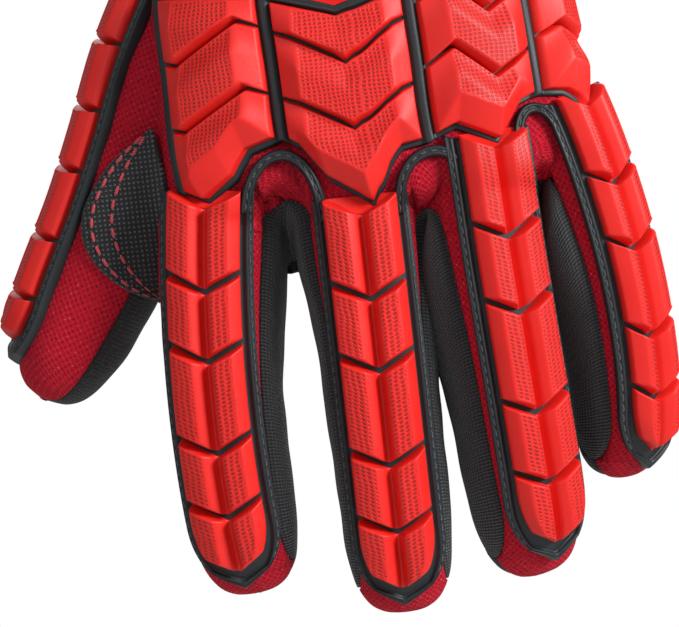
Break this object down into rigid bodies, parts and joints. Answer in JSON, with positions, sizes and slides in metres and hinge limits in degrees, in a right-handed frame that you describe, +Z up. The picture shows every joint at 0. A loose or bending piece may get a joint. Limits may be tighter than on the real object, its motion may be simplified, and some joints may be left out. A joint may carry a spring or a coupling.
{
  "type": "anti vibration glove",
  "caption": "Left-hand work glove with a crimson mesh back, black palm, red moulded impact guards over knuckles, fingers and thumb, and a plain open cuff.",
  "frame": {"origin": "centre of the cuff's opening, where a wrist holds the glove", "axes": "+Z runs up the hand and out of the cuff, -Y faces the back of the hand, +X the little finger"},
  "size_m": [0.1516, 0.069, 0.2499],
  "materials": {
    "crimson_mesh": "spacer-mesh knit",
    "black_fabric": "ribbed and woven cloth",
    "red_rubber": "matt moulded rubber",
    "black_rubber": "matt moulded rubber"
  },
  "bodies": {
    "root": {"back_panel": "crimson_mesh", "palm_panel": "black_fabric", "fourchette_index_middle": "black_fabric", "fourchette_middle_ring": "black_fabric", "fourchette_ring_little": "black_fabric", "thumb_back": "crimson_mesh", "thumb_palm": "black_fabric", "thumb_patch": "black_fabric", "cuff": "black_fabric", "cuff_binding": "black_fabric", "plate_base": "black_rubber", "plate_block_index_1": "red_rubber", "plate_block_index_2": "red_rubber", "plate_block_index_3": "red_rubber", "plate_block_middle_1": "red_rubber", "plate_block_middle_2": "red_rubber", "plate_block_middle_3": "red_rubber", "plate_block_ring_1": "red_rubber", "plate_block_ring_2": "red_rubber", "plate_block_ring_3": "red_rubber", "plate_block_little_1": "red_rubber", "plate_block_little_2": "red_rubber", "plate_block_little_3": "red_rubber", "web_loop_1": "black_rubber", "web_loop_2": "black_rubber", "web_loop_3": "black_rubber", "index_guard": "black_rubber", "index_row_1": "red_rubber", "index_row_2": "red_rubber", "index_row_3": "red_rubber", "index_row_4": "red_rubber", "index_row_5": "red_rubber", "middle_guard": "black_rubber", "middle_row_1": "red_rubber", "middle_row_2": "red_rubber", "middle_row_3": "red_rubber", "middle_row_4": "red_rubber", "middle_row_5": "red_rubber", "ring_guard": "black_rubber", "ring_row_1": "red_rubber", "ring_row_2": "red_rubber", "ring_row_3": "red_rubber", "ring_row_4": "red_rubber", "ring_row_5": "red_rubber", "little_guard": "black_rubber", "little_row_1": "red_rubber", "little_row_2": "red_rubber", "little_row_3": "red_rubber", "little_row_4": "red_rubber", "little_row_5": "red_rubber", "thumb_guard": "black_rubber", "thumb_row_1": "red_rubber", "thumb_row_2": "red_rubber", "thumb_row_3": "red_rubber", "thumb_row_4": "red_rubber", "thumb_row_5": "red_rubber", "thumb_row_6": "red_rubber"}
  },
  "joints": []
}
